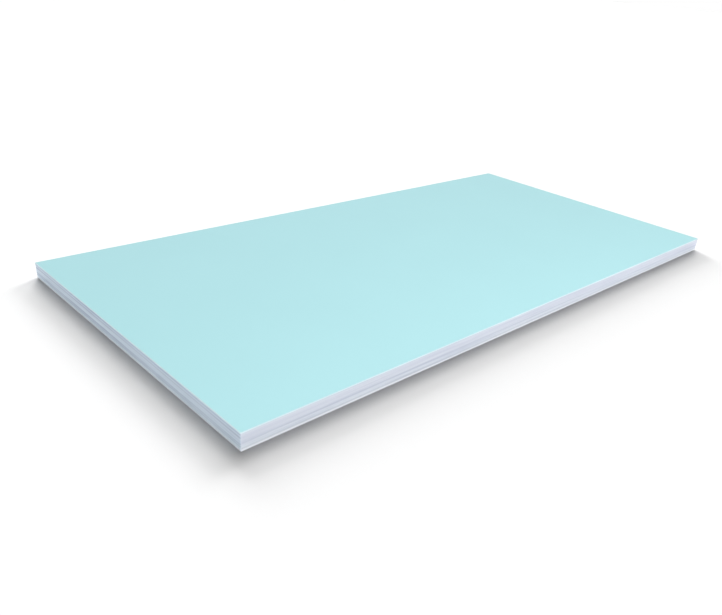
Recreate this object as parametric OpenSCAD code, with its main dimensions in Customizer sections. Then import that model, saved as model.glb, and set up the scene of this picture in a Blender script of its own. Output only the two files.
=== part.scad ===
// Rigid foam PVC sheet, cut to size: a flat board of expanded PVC with a coloured top face,
// white foam on its milled edges, and every arris broken by a small chamfer.
// Lengths are in millimetres. The origin is the middle of the underside, with +X along the length.

/* [Sheet] */
// Length of the sheet, along X
sheet_length = 1220; // [300:10:3050]
// Width of the sheet, along Y
sheet_width = 610; // [150:10:2050]
// Thickness of the sheet, along Z
sheet_thickness = 27; // [15:1:40]
// Depth to which the top face is coloured
face_skin = 0.2; // [0.1:0.05:0.5]

/* [Broken arrises] */
// Leg of the chamfer round the coloured face
face_arris_leg = 1.5; // [0.5:0.1:2]
// Leg of the chamfer round the underside
base_arris_leg = 0.5; // [0.2:0.1:2]
// Leg of the chamfer on the four upright corners
corner_leg = 0.8; // [0.5:0.1:5]

/* [Milled edges] */
// Width of the shallow flute that a cutter pass leaves along an edge
pass_line_width = 3; // [1:0.5:4]
// Depth of that flute
pass_line_depth = 0.15; // [0.05:0.05:0.4]

/* [Hidden] */

// Heights of the pass lines, as shares of the thickness above the underside:
// the two long edges were milled in three passes, and the two ends, in another set-up, in five
side_pass_shares = [0.175, 0.43];
end_pass_shares = [0.25, 0.37, 0.71, 0.88];

// How far a cut runs past the face that it starts from
overrun = 2;

face_colour = "#bce9ee";
foam_colour = "#e4e7f0";

// Rectangle from -width/2 to width/2 and from 0 to height, with a chamfer on each corner:
// one leg for the two corners at 0, and one for the two at height
module chamfered_rectangle(width, height, low_leg, high_leg) {
    half = width / 2;
    polygon([
        [low_leg - half, 0], [half - low_leg, 0],
        [half, low_leg], [half, height - high_leg],
        [half - high_leg, height], [high_leg - half, height],
        [-half, height - high_leg], [-half, low_leg]
    ]);
}

// Outline of one flute: a shallow V into the edge at x = 0, open towards +x
module pass_line() {
    half = pass_line_width / 2;
    polygon([
        [overrun, -half], [overrun, half],
        [0, half], [-pass_line_depth, 0], [0, -half]
    ]);
}

// Section through the thickness: broken arrises, and a flute on both edges at each height
module milled_section(width, pass_shares) {
    difference() {
        chamfered_rectangle(width, sheet_thickness, base_arris_leg, face_arris_leg);
        for (share = pass_shares, side = [0, 1])
            mirror([side, 0])
                translate([width / 2, share * sheet_thickness])
                    pass_line();
    }
}

// The sheet's shape is what three straight cuts leave: its plan with the upright corners broken,
// its section across the width, and its section along the length. The flutes mitre at the corners.
module cut_board() {
    intersection() {
        translate([0, -sheet_width / 2])
            linear_extrude(sheet_thickness)
                chamfered_rectangle(sheet_length, sheet_width, corner_leg, corner_leg);
        rotate([90, 0, 90])
            linear_extrude(sheet_length, center = true)
                milled_section(sheet_width, side_pass_shares);
        rotate([90, 0, 0])
            linear_extrude(sheet_width, center = true)
                milled_section(sheet_length, end_pass_shares);
    }
}

// Slab over the whole plan, from one height to another
module level_slab(bottom, top) {
    slab_length = sheet_length + 2 * overrun;
    slab_width = sheet_width + 2 * overrun;
    translate([-slab_length / 2, -slab_width / 2, bottom])
        cube([slab_length, slab_width, top - bottom]);
}

// One solid: white foam, and the coloured skin of its top face
module foam_pvc_sheet() {
    skin_height = sheet_thickness - face_skin;
    color(foam_colour)
        intersection() {
            cut_board();
            level_slab(-overrun, skin_height);
        }
    color(face_colour)
        intersection() {
            cut_board();
            level_slab(skin_height, sheet_thickness + overrun);
        }
}

foam_pvc_sheet();
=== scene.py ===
# %% [markdown]
# # A sheet of rigid foam PVC
# The subject is one piece of raw stock: a foam PVC board, cut to size, with a pale aqua face and white
# edges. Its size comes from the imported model, which is loaded first as a fixed frame. Everything here is
# in metres, in that same frame, so nothing has to be fitted: the sheet lies on its underside, the origin
# is under the middle of it, and +X runs along the length.

import math

import bpy
import numpy as np
from mathutils import Matrix, Vector


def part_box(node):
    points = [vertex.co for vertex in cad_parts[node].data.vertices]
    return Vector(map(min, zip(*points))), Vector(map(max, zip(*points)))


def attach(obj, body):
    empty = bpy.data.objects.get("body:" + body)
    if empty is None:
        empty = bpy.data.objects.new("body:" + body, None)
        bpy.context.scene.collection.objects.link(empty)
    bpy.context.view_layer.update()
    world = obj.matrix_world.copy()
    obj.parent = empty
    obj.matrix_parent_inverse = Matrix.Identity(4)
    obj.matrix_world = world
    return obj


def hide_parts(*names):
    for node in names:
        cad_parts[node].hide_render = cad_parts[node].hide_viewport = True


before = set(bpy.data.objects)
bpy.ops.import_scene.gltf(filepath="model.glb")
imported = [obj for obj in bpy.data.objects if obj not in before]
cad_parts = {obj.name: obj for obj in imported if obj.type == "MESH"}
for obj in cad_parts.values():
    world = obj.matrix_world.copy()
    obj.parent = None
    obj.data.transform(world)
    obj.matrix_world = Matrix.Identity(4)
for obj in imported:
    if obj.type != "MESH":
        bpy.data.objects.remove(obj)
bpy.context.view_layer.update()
sheet_low, sheet_high = (np.array(corner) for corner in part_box("foam_pvc_sheet"))
length, width, thickness = sheet_high - sheet_low
MM = 0.001
print(f"the sheet measures {length / MM:.0f} x {width / MM:.0f} x {thickness / MM:.0f} mm")

# %% [markdown]
# ## The camera
# A flat box gives a camera away: its straight edges run to vanishing points, and those fix the lens, the
# place and the tilt. Here the camera stands off the front corner, at about knee height, and leans to one
# side by a few degrees. The picture is a crop, so the lens axis isn't in its middle, and the camera's
# shift makes up for that. Writing the turn as heading, dip and lean keeps each of them readable.

# %% Turn of the camera
HEADING_DEG = 46.735
DIP_DEG = 28.708
LEAN_DEG = 5.353


def camera_turn(heading_deg, dip_deg, lean_deg):
    """Columns are the camera's right, up and back. Heading turns from +Y to +X, dip looks down, and lean
    turns right and up about the line of sight."""
    heading, dip, lean = np.radians([heading_deg, dip_deg, lean_deg])
    forward = np.array([np.sin(heading) * np.cos(dip), np.cos(heading) * np.cos(dip), -np.sin(dip)])
    level_right = np.array([np.cos(heading), -np.sin(heading), 0.0])
    level_up = np.cross(level_right, forward)
    right = level_right * np.cos(lean) + level_up * np.sin(lean)
    up = level_up * np.cos(lean) - level_right * np.sin(lean)
    return Matrix(np.stack([right, up, -forward], axis=1).tolist())


turn = camera_turn(HEADING_DEG, DIP_DEG, LEAN_DEG)
print(f"the camera looks {DIP_DEG:.0f} degrees down and leans {LEAN_DEG:.0f} degrees")

# %% Camera
CAMERA_PLACE = (-0.9679, -0.8624, 0.5072)
LENS_MM = 34.546
LENS_SHIFT = (-0.0389, 0.0568)

camera_data = bpy.data.cameras.new("photo_camera")
camera_data.lens = LENS_MM
camera_data.shift_x, camera_data.shift_y = LENS_SHIFT
camera = bpy.data.objects.new("photo_camera", camera_data)
camera.matrix_world = Matrix.Translation(CAMERA_PLACE) @ turn.to_4x4()
bpy.context.scene.collection.objects.link(camera)
bpy.context.scene.camera = camera
print(f"camera {np.linalg.norm(CAMERA_PLACE):.2f} m from the middle of the sheet, lens {LENS_MM} mm")

# %% [markdown]
# ## The outline
# Seen from above, the sheet is a rectangle whose upright corners are barely rounded. A rounded rectangle
# is easiest to offset when it is split into a core and a direction: the core runs round a smaller
# rectangle, the direction is the outward normal, and any inset ring is the core plus the normal times
# what is left of the corner radius. One array holds all stations, so a whole ring is one line of numpy.

# %% Stations round the outline
CORNER_RADIUS = 1.6 * MM
STATION_STEP = 10 * MM
HALF_ARC_STEPS = 4
SIDES = 4


def side_stations(side):
    """One side of the outline, from the middle of one corner's arc to the middle of the next.
    The core goes straight from corner to corner while the normal turns an eighth at each end."""
    reach = np.array([length, width]) / 2 - CORNER_RADIUS
    corners = reach * np.array([[-1, -1], [1, -1], [1, 1], [-1, 1]])
    start, end = corners[side], corners[(side + 1) % SIDES]
    straight_steps = round(np.linalg.norm(end - start) / STATION_STEP)
    along = np.pad(np.linspace(0, 1, straight_steps + 1), HALF_ARC_STEPS, mode="edge")
    eighth = np.linspace(0, math.pi / 4, HALF_ARC_STEPS + 1)
    facing = (side - 1) * math.pi / 2
    angle = facing + np.concatenate([-eighth[::-1], np.zeros(straight_steps - 1), eighth])
    core = start + along[:, None] * (end - start)
    return core, np.stack([np.cos(angle), np.sin(angle)], axis=1)


sides = [side_stations(side) for side in range(SIDES)]
side_steps = [len(side_core) - 1 for side_core, _ in sides]
core = np.concatenate([side_core[:-1] for side_core, _ in sides])
normal = np.concatenate([side_normal[:-1] for _, side_normal in sides])
station_count = len(core)
print(f"{station_count} stations round the outline, in sides of {side_steps}")

# %% [markdown]
# ## The milled edge
# The board was cut to size with a router, in several passes, and each pass left a shallow flute along the
# edge. The sides and the ends were cut in different set-ups, so their flutes lie at different heights.
# Then the arrises were broken with a few strokes of abrasive paper. All this is one profile: how far the
# surface lies inside the outline at each height. Real geometry is better than bump here, because the
# flutes show as faint light and dark lines, and the arris shows as a bright one.

# %% Profile of the edge
FACE_ARRIS = 1.5 * MM
BASE_ARRIS = 0.5 * MM
ARRIS_STEPS = 8
FACE_STEP = 0.35 * MM


def edge_profile():
    """Inset and height from the top down: a quarter circle, a straight face, a smaller quarter circle."""
    quarter = np.linspace(0, math.pi / 2, ARRIS_STEPS + 1)
    curve_in, curve_down = 1 - np.sin(quarter), 1 - np.cos(quarter)
    straight = np.array([thickness - FACE_ARRIS, BASE_ARRIS])
    face_steps = round((straight[0] - straight[1]) / FACE_STEP)
    face_height = np.linspace(*straight, face_steps + 1)[1:-1]
    top_height = thickness - FACE_ARRIS * curve_down
    base_height = BASE_ARRIS * curve_down[::-1]
    inset = np.concatenate([FACE_ARRIS * curve_in, 0 * face_height, BASE_ARRIS * curve_in[::-1]])
    return inset, np.concatenate([top_height, face_height, base_height])


inset, height = edge_profile()
ring_count = len(height)
print(f"{ring_count} rings down the edge")

# %% Flutes of the router passes
SIDE_FLUTE_SHARES = np.array([0.175, 0.43])
END_FLUTE_SHARES = np.array([0.25, 0.37, 0.71, 0.88])
FLUTE_WIDTH = 3.0 * MM
FLUTE_DEPTH = 0.15 * MM


def flute_shape(shares, flute_width):
    """Sum of raised cosines: 1 at a flute's own share of the thickness, and 0 from its rims on."""
    away = (height[:, None] - shares * thickness) / (flute_width / 2)
    return ((1 + np.cos(math.pi * np.clip(away, -1, 1))) / 2).sum(axis=1)


side_flutes = FLUTE_DEPTH * flute_shape(SIDE_FLUTE_SHARES, FLUTE_WIDTH)
end_flutes = FLUTE_DEPTH * flute_shape(END_FLUTE_SHARES, FLUTE_WIDTH)
print(f"the deepest flute goes {max(side_flutes.max(), end_flutes.max()) / MM:.2f} mm in")

# %% [markdown]
# ## The edge carried round the board
# The edge is the profile carried round the outline. At a corner the side's flutes turn into the end's:
# the square of the normal's x part goes from 0 to 1 there, which makes a ready weight for the two. A
# cutter never bites quite evenly, so the flutes also swell and fade a little on the way round. Two waves
# with whole numbers of crests do that, and the last station then meets the first.

# %% Rings of the edge
SWELL_CRESTS = np.array([7, 16])
SWELL_SHARES = np.array([0.2, 0.15])

run = np.cumsum(np.linalg.norm(core - np.roll(core, 1, axis=0), axis=1))
swell = 1 + (SWELL_SHARES * np.sin(math.tau * np.outer(run / run[-1], SWELL_CRESTS))).sum(axis=1)
end_weight = normal[:, 0] ** 2
ring_flutes = np.outer(side_flutes, 1 - end_weight) + np.outer(end_flutes, end_weight)
ring_inset = inset[:, None] + ring_flutes * swell
ring_plan = core + normal * (CORNER_RADIUS - ring_inset)[:, :, None]
ring_height = np.broadcast_to(height[:, None, None], (ring_count, station_count, 1))
ring_points = np.concatenate([ring_plan, ring_height], axis=2)
ring_index = np.arange(ring_count * station_count).reshape(ring_count, station_count)
print(f"{run[-1]:.2f} m round, and the flutes swell from {swell.min():.2f} to {swell.max():.2f}")

# %% [markdown]
# ## The two faces
# A face could be one big polygon, but a grid takes shading and later changes better. Each face is a patch
# stretched between the four sides of the first or the last ring. It shares those vertices, so the mesh is
# closed and there is no seam to weld.

# %% Patches inside the rings


def stretched_patch(ring):
    """Coons patch inside a ring of points: it blends front to back, adds left to right, and takes away
    the blend of the four corners. Returns its grid of points and, for each, its station or -1 inside."""
    starts = np.cumsum([0] + side_steps)
    stations = [np.arange(starts[side], starts[side + 1] + 1) % station_count for side in range(SIDES)]
    front, right, back, left = stations[0], stations[1], stations[2][::-1], stations[3][::-1]
    u = np.linspace(0, 1, len(front))[:, None, None]
    v = np.linspace(0, 1, len(left))[None, :, None]
    lengthwise = (1 - v) * ring[front][:, None] + v * ring[back][:, None]
    crosswise = (1 - u) * ring[left][None] + u * ring[right][None]
    near = (1 - u) * ring[front[0]] + u * ring[front[-1]]
    far = (1 - u) * ring[back[0]] + u * ring[back[-1]]
    station = np.full((len(front), len(left)), -1)
    station[:, 0], station[:, -1] = front, back
    station[0, :], station[-1, :] = left, right
    return lengthwise + crosswise - (1 - v) * near - v * far, station


def face_patch(ring_number, first_new):
    """A face's own inner points, and its grid of vertex numbers, which has the ring's at its rim."""
    points, station = stretched_patch(ring_points[ring_number])
    inside = station < 0
    index = np.where(inside, 0, ring_index[ring_number][station])
    index[inside] = first_new + np.arange(inside.sum())
    return points[inside], index


top_points, top_index = face_patch(0, ring_index.size)
under_points, under_index = face_patch(-1, ring_index.size + len(top_points))
sheet_points = np.concatenate([ring_points.reshape(-1, 3), top_points, under_points])
print(f"{len(sheet_points)} vertices, {len(top_points)} of them inside the top face")

# %% [markdown]
# ## The mesh
# All grids become quads in the same way. The coloured skin is a fifth of a millimetre thick, so the aqua
# goes a little way over the arris and ends there: the first rows of the edge still belong to the face.

# %% Mesh
FACE_SKIN = 0.2 * MM
AQUA_FACE, MILLED_EDGE, UNDERSIDE = 0, 1, 2


def quads(index):
    """Every cell of a grid of vertex numbers, as one row of four."""
    cells = np.stack([index[:-1, :-1], index[1:, :-1], index[1:, 1:], index[:-1, 1:]], axis=2)
    return cells.reshape(-1, 4)


closed_index = np.concatenate([ring_index, ring_index[:, :1]], axis=1)
skin_rings = (thickness - height <= FACE_SKIN).sum()
skin_quads = quads(closed_index[:skin_rings])
edge_quads = quads(closed_index[skin_rings - 1:])
top_quads = quads(top_index)
under_quads = quads(under_index)[:, ::-1]
all_quads = np.concatenate([top_quads, skin_quads, edge_quads, under_quads])

sheet_mesh = bpy.data.meshes.new("foam_pvc_board")
sheet_mesh.from_pydata(sheet_points.tolist(), [], all_quads.tolist())
sheet = bpy.data.objects.new("foam_pvc_board", sheet_mesh)
bpy.context.scene.collection.objects.link(sheet)
counts = [len(top_quads) + len(skin_quads), len(edge_quads), len(under_quads)]
finish_of_face = np.repeat([AQUA_FACE, MILLED_EDGE, UNDERSIDE], counts).astype(np.int32)
round_count = len(skin_quads) + len(edge_quads)
flat_face = np.repeat([True, False, True], [len(top_quads), round_count, len(under_quads)])
sheet_mesh.polygons.foreach_set("material_index", finish_of_face)
sheet_mesh.polygons.foreach_set("use_smooth", ~flat_face)
sheet_mesh.update()
print("invalid mesh" if sheet_mesh.validate() else f"a sound mesh of {2 * len(all_quads)} triangles")

# %% [markdown]
# ## Where the edges are cut, and where shade and light are painted on them
# The sides are a warmer white than the ends. In the flutes, and a little past their rims, the foam is
# painted a shade darker, most of all across the ends: that is painted shade. Over the top arris the aqua
# skin feathers out into a colour lighter than both, which is a painted highlight, and at the base the foam
# is painted white, which is painted light against the floor's shade. A finish can't know where those
# places are, so the mesh carries the answers: four numbers per vertex, each from 0 to 1.

# %% Numbers for the finish
# How far the painted highlight reaches down from the top face, where the aqua skin feathers out.
FEATHERED_HIGHLIGHT_REACH = 1.8 * MM
# How far the painted light reaches up from the base.
BASE_LIGHT_REACH = 3.2 * MM
# Width of the painted shade round each flute.
FLUTE_SHADE_WIDTH = 4.0 * MM
# Shares for the sides, then for the ends
FEATHERED_HIGHLIGHT_SHARES = (0.7, 1.0)
BASE_LIGHT_SHARES = (1.0, 0.6)
FLUTE_SHADE_SHARES = (0.45, 1.0)


def side_or_end(side_share, end_share):
    """One share per station: the side's, the end's, or at a corner the mean weighted by the normal."""
    return side_share * (1 - end_weight) + end_share * end_weight


def near_arris(distance, reach):
    """1 up to half the reach from a face, then straight down to 0 at the whole reach."""
    return np.clip(2 * (1 - distance / reach), 0, 1)


def vertex_numbers(name, ring_values):
    """Stores one number per vertex: the rings' own values, and 0 inside the two faces."""
    values = np.zeros(len(sheet_points), dtype=np.float32)
    values[:ring_index.size] = ring_values.ravel()
    layer = sheet_mesh.attributes.new(name, "FLOAT", "POINT")
    layer.data.foreach_set("value", values)
    print(f"{name}: {np.count_nonzero(values)} vertices are above 0")


# Painted shade: the foam goes darker in the flutes and a little past their rims.
side_flute_shade = FLUTE_SHADE_SHARES[0] * flute_shape(SIDE_FLUTE_SHARES, FLUTE_SHADE_WIDTH)
end_flute_shade = FLUTE_SHADE_SHARES[1] * flute_shape(END_FLUTE_SHARES, FLUTE_SHADE_WIDTH)
ring_flute_shade = np.outer(side_flute_shade, 1 - end_weight) + np.outer(end_flute_shade, end_weight)
# Painted highlight over the top arris.
near_face = near_arris(thickness - height, FEATHERED_HIGHLIGHT_REACH)
# Painted light along the base, against the floor's shade.
near_base = near_arris(height, BASE_LIGHT_REACH)
vertex_numbers("cut_along", np.outer(np.ones(ring_count), 1 - end_weight))
vertex_numbers("painted_flute_shade", np.clip(ring_flute_shade * swell, 0, 1))
vertex_numbers("feathered_highlight", np.outer(near_face, side_or_end(*FEATHERED_HIGHLIGHT_SHARES)))
vertex_numbers("painted_base_light", np.outer(near_base, side_or_end(*BASE_LIGHT_SHARES)))

# %% [markdown]
# ## Tools for the finishes
# Colours are written as they look, in sRGB hex, and one function turns them into the linear light that
# shaders work with. Another small function adds a node, so that each finish below reads as a list of what
# it is made of.

# %% Colour and node helpers


def linear(hex_colour):
    """Linear RGBA of an sRGB hex colour: the low stretch is straight, and the rest is a power of 2.4."""
    srgb = np.array([int(hex_colour[k:k + 2], 16) for k in (1, 3, 5)]) / 255
    light = np.where(srgb <= 0.04045, srgb / 12.92, ((srgb + 0.055) / 1.055) ** 2.4)
    return (*light.tolist(), 1.0)


def add_node(tree, kind, inputs, **settings):
    """Adds one node: settings go on the node, and inputs, by name or number, are linked or filled."""
    node = tree.nodes.new(kind)
    for name, value in settings.items():
        setattr(node, name, value)
    for name, value in inputs.items():
        if isinstance(value, bpy.types.NodeSocket):
            tree.links.new(value, node.inputs[name])
        else:
            node.inputs[name].default_value = value
    return node


def new_finish(name):
    """An empty material, with the tree that its nodes go into."""
    material = bpy.data.materials.new(name)
    material.use_nodes = True
    material.node_tree.nodes.clear()
    return material, material.node_tree


print(f"a grey of #808080 is {linear('#808080')[0]:.2f} in linear light")

# %% [markdown]
# ## The skins
# The face is PVC, coloured right through its skin and pressed between polished rolls, so it is even and
# satin. It isn't perfect: the colour is a touch cloudy over a hand's breadth, and the rolls leave a faint
# orange peel that breaks up reflections. The underside was never coloured. It keeps the white skin that
# the foam had when it left the die, with the same clouds and peel, so one function makes both. Nobody
# sees it here, but the part will be turned over.

# %% Skin of a board
PVC_IOR = 1.53
SKIN_ROUGHNESS = 0.55
CLOUD_SIZE = 160 * MM
CLOUD_DETAIL = 3.0
PEEL_SIZE = 5 * MM
PEEL_DETAIL = 1.0
PEEL_HEIGHT = 0.02 * MM
# Sockets of a colour Mix node, which have the same names as those of its other kinds
COLOUR_A, COLOUR_B, MIXED_COLOUR = 6, 7, 2


def board_skin(name, tint, other_tint, gloss):
    """Satin PVC: a wide noise mixes two tints, and a fine one bumps the normal."""
    skin, tree = new_finish(name)
    place = add_node(tree, "ShaderNodeTexCoord", {}).outputs["Object"]
    cloud, peel = (
        add_node(tree, "ShaderNodeTexNoise", {"Vector": place, "Scale": 1 / size, "Detail": detail})
        for size, detail in ((CLOUD_SIZE, CLOUD_DETAIL), (PEEL_SIZE, PEEL_DETAIL))
    )
    colour = add_node(
        tree,
        "ShaderNodeMix",
        {"Factor": cloud.outputs["Fac"], COLOUR_A: linear(tint), COLOUR_B: linear(other_tint)},
        data_type="RGBA",
    )
    bump = add_node(tree, "ShaderNodeBump", {"Height": peel.outputs["Fac"], "Distance": PEEL_HEIGHT})
    satin = add_node(
        tree,
        "ShaderNodeBsdfPrincipled",
        {
            "Base Color": colour.outputs[MIXED_COLOUR],
            "Normal": bump.outputs["Normal"],
            "Roughness": SKIN_ROUGHNESS,
            "IOR": PVC_IOR,
            "Specular IOR Level": gloss,
        },
    )
    add_node(tree, "ShaderNodeOutputMaterial", {"Surface": satin.outputs["BSDF"]})
    print(f"{name}: {tint} to {other_tint}")
    return skin


print(f"clouds of {CLOUD_SIZE / MM:.0f} mm, and an orange peel of {PEEL_SIZE / MM:.0f} mm")

# %% Calendered PVC, pale aqua
# To the eye: one even colour with a soft sheen, and no mirror image in it.
AQUA = "#b6e6eb"
AQUA_DEEP = "#b3e3e8"
AQUA_GLOSS = 0.12

aqua_face = board_skin("calendered_pvc_aqua", AQUA, AQUA_DEEP, AQUA_GLOSS)

# %% Extruded foam PVC skin, white
# To the eye: a plain white, a little shinier than the face.
SKIN_WHITE = "#e6e9f1"
SKIN_SHADE = "#e0e4ee"
SKIN_GLOSS = 0.5

underside = board_skin("extruded_foam_pvc_skin", SKIN_WHITE, SKIN_SHADE, SKIN_GLOSS)

# %% [markdown]
# ## The milled edge's finish
# Cutting opens the foam's fine closed cells, so the edges are matt and bluish white. Towards the base
# they are painted a shade lighter, as painted light against the floor's shade. The cutter also drags fine
# streaks along the edge. So the colour is built up in steps: the height gives the foam and that painted
# light, a drawn-out noise gives the streaks, and the four numbers from the mesh give the way of the cut,
# the painted shade in the flutes, the feathered aqua with its painted highlight and the painted light at
# the base.

# %% Foam by height
# To the eye: a dull, faintly lined white, with painted shade in the flutes, a painted highlight on the top
# arris and painted light along the base.
# The foam's colours go by the share of the thickness, from the base up. They are the foam's own colour,
# painted lighter in the lowest fifth as painted light that lifts the floor's shade there.
FOAM_AND_BASE_LIGHT_BY_SHARE = {0.0: "#e6f0f6", 0.2: "#dbeaf3", 0.45: "#d5e3ee", 0.65: "#d4e1ec", 1.0: "#d4e3ee"}

milled_edge, tree = new_finish("milled_foam_pvc_white")
place = add_node(tree, "ShaderNodeTexCoord", {}).outputs["Object"]
axes = add_node(tree, "ShaderNodeSeparateXYZ", {"Vector": place})
share = add_node(tree, "ShaderNodeMath", {0: axes.outputs["Z"], 1: 1 / thickness}, operation="MULTIPLY")
foam = add_node(tree, "ShaderNodeValToRGB", {"Fac": share.outputs[0]})
stops = foam.color_ramp.elements
for stop_share in list(FOAM_AND_BASE_LIGHT_BY_SHARE)[1:-1]:
    stops.new(stop_share)
for stop, stop_colour in zip(stops, FOAM_AND_BASE_LIGHT_BY_SHARE.values()):
    stop.color = linear(stop_colour)
print(f"{milled_edge.name}: {len(stops)} shades down the edge")

# %% Streaks, cut, painted shade, painted highlight and painted light
STREAK_SHADE = "#ebecf2"
ALONG_SHADE = "#fdf4f3"
# Painted shade for the flutes.
PAINTED_FLUTE_SHADE = "#dfe1e7"
# Painted highlight for the top arris: the feathered aqua, lighter than both the aqua and the foam.
FEATHERED_HIGHLIGHT_AQUA = "#daf2f7"
# Painted light for the base, against the shade of the floor.
BASE_LIGHT_WHITE = "#f4f8ff"
# Real streaks are a few tenths of a millimetre high. They are drawn coarser, to show from the camera.
STREAK_HEIGHT = 3.5 * MM
STREAK_LENGTH = 160 * MM
STREAK_DETAIL = 3.0
STREAK_RANGE = (0.3, 0.7)

stretch = (1 / STREAK_LENGTH, 1 / STREAK_LENGTH, 1 / STREAK_HEIGHT)
drawn_out = add_node(tree, "ShaderNodeMapping", {"Vector": place, "Scale": stretch})
# The stretch has set the size already, so the noise itself isn't scaled.
streak = add_node(
    tree,
    "ShaderNodeTexNoise",
    {"Vector": drawn_out.outputs[0], "Scale": 1.0, "Detail": STREAK_DETAIL},
)
streak_share = add_node(
    tree,
    "ShaderNodeMapRange",
    {"Value": streak.outputs["Fac"], "From Min": STREAK_RANGE[0], "From Max": STREAK_RANGE[1]},
)
cut_along, painted_flute_shade, feathered_highlight, painted_base_light = (
    add_node(tree, "ShaderNodeAttribute", {}, attribute_name=name).outputs["Fac"]
    for name in ("cut_along", "painted_flute_shade", "feathered_highlight", "painted_base_light")
)
shade = foam.outputs["Color"]
# The last three steps are painted shade in the flutes, a painted highlight on the top arris and painted
# light at the base.
for amount, other, blend in (
    (cut_along, ALONG_SHADE, "MULTIPLY"),
    (streak_share.outputs["Result"], STREAK_SHADE, "MULTIPLY"),
    (painted_flute_shade, PAINTED_FLUTE_SHADE, "MULTIPLY"),
    (feathered_highlight, FEATHERED_HIGHLIGHT_AQUA, "MIX"),
    (painted_base_light, BASE_LIGHT_WHITE, "MIX"),
):
    step = add_node(
        tree,
        "ShaderNodeMix",
        {"Factor": amount, COLOUR_A: shade, COLOUR_B: linear(other)},
        data_type="RGBA",
        blend_type=blend,
    )
    shade = step.outputs[MIXED_COLOUR]
print(f"streaks {STREAK_HEIGHT / MM} mm high and {STREAK_LENGTH / MM:.0f} mm long")

# %% Milled foam PVC, white
# Real cells are a tenth of a millimetre across. They are drawn coarser, to show from the camera.
CELL_SIZE = 0.9 * MM
CELL_DEPTH = 0.06 * MM
FOAM_ROUGHNESS = 0.75
FOAM_GLOSS = 0.3

cells = add_node(tree, "ShaderNodeTexVoronoi", {"Vector": place, "Scale": 1 / CELL_SIZE})
bump = add_node(tree, "ShaderNodeBump", {"Height": cells.outputs["Distance"], "Distance": CELL_DEPTH})
matt = add_node(
    tree,
    "ShaderNodeBsdfPrincipled",
    {
        "Base Color": shade,
        "Normal": bump.outputs["Normal"],
        "Roughness": FOAM_ROUGHNESS,
        "IOR": PVC_IOR,
        "Specular IOR Level": FOAM_GLOSS,
    },
)
add_node(tree, "ShaderNodeOutputMaterial", {"Surface": matt.outputs["BSDF"]})
print(f"{milled_edge.name}: cells of {CELL_SIZE / MM} mm, roughness {FOAM_ROUGHNESS}")

# %% [markdown]
# ## The sheet takes its place
# The finishes go on in the order of their numbers. Then the sheet rides on the only body there is, and
# stands for the plain solid of the frame.

# %% Finishes on the sheet
for finish in (aqua_face, milled_edge, underside):
    sheet_mesh.materials.append(finish)
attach(sheet, "root")
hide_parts("foam_pvc_sheet")
print("finishes:", [material.name for material in sheet_mesh.materials])

# %% [markdown]
# ## The floor
# The sheet lies on white paper. Paper has next to no gloss, so a plain matt white is enough, and the
# shadow on it is nothing but the lamps and the sky that the sheet hides. The paper is written nearly
# white and lit to the full, so it shows as white with no more light on the sheet than the sheet needs.

# %% Floor
# To the eye: a blank ground that only the shadow marks.
PAPER_WHITE = "#fbfbfb"
FLOOR_REACH = 30.0

floor_mesh = bpy.data.meshes.new("floor")
floor_corners = FLOOR_REACH * np.array([[-1, -1, 0], [1, -1, 0], [1, 1, 0], [-1, 1, 0]])
floor_mesh.from_pydata(floor_corners.tolist(), [], [[0, 1, 2, 3]])
floor = bpy.data.objects.new("floor", floor_mesh)
bpy.context.scene.collection.objects.link(floor)
paper, tree = new_finish("white_paper_floor")
matt = add_node(tree, "ShaderNodeBsdfDiffuse", {"Color": linear(PAPER_WHITE)})
add_node(tree, "ShaderNodeOutputMaterial", {"Surface": matt.outputs["BSDF"]})
floor_mesh.materials.append(paper)
print(f"floor reaches {FLOOR_REACH:.0f} m each way")

# %% [markdown]
# ## The lamps
# Soft light is a distant lamp with a wide disc, and how far a shadow reaches tells how low its lamp
# stands. Two low ones behind the sheet, to the left and right, draw the soft shadow that falls towards
# the camera, and a high one fills it in close to the edge. The sheet also has lamps of its own. Far off
# are one behind it and a low one in front, for the two near edges. Close by are two softboxes, because
# their light falls off along the sheet: a long one on a boom over the near side, where the face is
# lightest, and a low one before the right half of the long edge, which is lighter than the left. In a
# studio, flags keep some lamps off the floor and others off the sheet. Light linking does that here.

# %% Lamps far off


def soft_sun(name, heading_deg, height_deg, spread_deg, level):
    """A distant lamp, with heading from +Y to +X. Level 1 shows a surface that faces it as written."""
    heading, rise = np.radians([heading_deg, height_deg])
    lamp_data = bpy.data.lights.new(name, "SUN")
    lamp_data.energy = math.pi * level
    lamp_data.angle = math.radians(spread_deg)
    lamp = bpy.data.objects.new(name, lamp_data)
    lamp.rotation_euler = (math.pi / 2 - rise, 0, math.pi - heading)
    bpy.context.scene.collection.objects.link(lamp)
    print(f"{name} lights a level surface to {level * math.sin(rise):.2f}")
    return lamp


high = soft_sun("high_softbox", heading_deg=45, height_deg=55, spread_deg=50, level=0.41)
left = soft_sun("left_softbox", heading_deg=25, height_deg=16, spread_deg=30, level=1.14)
right = soft_sun("right_softbox", heading_deg=65, height_deg=22, spread_deg=20, level=0.56)
back = soft_sun("back_softbox", heading_deg=38, height_deg=28, spread_deg=40, level=0.56)
front = soft_sun("front_softbox", heading_deg=214, height_deg=6, spread_deg=16, level=0.61)

# %% Lamps close by


def softbox(name, place, aim, size, watts):
    """A rectangular lamp at a place, turned to face the point that it is aimed at."""
    lamp_data = bpy.data.lights.new(name, "AREA")
    lamp_data.shape = "RECTANGLE"
    lamp_data.size, lamp_data.size_y = size
    lamp_data.energy = watts
    lamp = bpy.data.objects.new(name, lamp_data)
    line = Vector(aim) - Vector(place)
    lamp.location = place
    lamp.rotation_euler = line.to_track_quat("-Z", "Y").to_euler()
    bpy.context.scene.collection.objects.link(lamp)
    print(f"{name} is {line.length:.2f} m from where it points")
    return lamp


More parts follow.
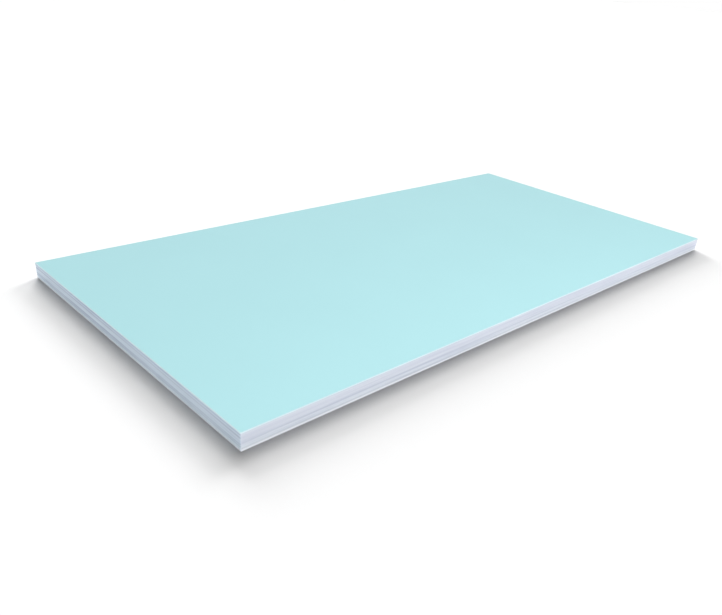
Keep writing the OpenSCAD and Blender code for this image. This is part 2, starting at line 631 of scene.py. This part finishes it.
boom = softbox(
    "boom_softbox",
    place=(-0.1, -0.7, 0.6),
    aim=(-0.1, -0.2, 0.0),
    size=(1.6, 0.5),
    watts=2.0,
)
low = softbox(
    "low_softbox",
    place=(0.35, -1.2, 0.04),
    aim=(0.35, -0.3, 0.04),
    size=(0.5, 0.06),
    watts=1.3,
)

# %% Flags
sheet_lamps = (back, front, boom, low)
floor_lamps = (left, right)
flagged_off_floor = bpy.data.collections.new("flagged_off_the_floor")
flagged_off_floor.objects.link(sheet)
flagged_off_sheet = bpy.data.collections.new("flagged_off_the_sheet")
flagged_off_sheet.objects.link(floor)
for lamp in sheet_lamps:
    lamp.light_linking.receiver_collection = flagged_off_floor
for lamp in floor_lamps:
    lamp.light_linking.receiver_collection = flagged_off_sheet
# Light thrown back by the near edges would fill their own shadow.
for lamp in (front, boom, low):
    lamp.data.cycles.max_bounces = 0
# A lamp that shows in the satin face would glare.
for lamp in (high, *floor_lamps, *sheet_lamps):
    lamp.visible_glossy = False
print("lamps on the sheet alone:", [lamp.name for lamp in sheet_lamps])
print("lamps on the floor alone:", [lamp.name for lamp in floor_lamps])

# %% [markdown]
# ## The world
# The world stands for the pale walls of a studio: it gives a weak light from all sides, and shows as
# plain white behind the floor. Gloss and glass see the same white.

# %% World
SKY_LEVEL = 0.22
BACKDROP_LEVEL = 1.0
WHITE = "#ffffff"

world = bpy.data.worlds.new("studio")
bpy.context.scene.world = world
world.use_nodes = True
tree = world.node_tree
tree.nodes.clear()
ray = add_node(tree, "ShaderNodeLightPath", {})
seen = ray.outputs["Is Camera Ray"]
for kind_of_ray in ("Is Glossy Ray", "Is Transmission Ray"):
    either = add_node(tree, "ShaderNodeMath", {0: seen, 1: ray.outputs[kind_of_ray]}, operation="MAXIMUM")
    seen = either.outputs[0]
ambient = add_node(tree, "ShaderNodeBackground", {"Color": linear(WHITE), "Strength": SKY_LEVEL})
backdrop = add_node(tree, "ShaderNodeBackground", {"Color": linear(WHITE), "Strength": BACKDROP_LEVEL})
both = add_node(tree, "ShaderNodeMixShader", {0: seen, 1: ambient.outputs[0], 2: backdrop.outputs[0]})
add_node(tree, "ShaderNodeOutputWorld", {"Surface": both.outputs[0]})
bpy.context.scene.view_settings.view_transform = "Standard"
print(f"sky level {SKY_LEVEL}")
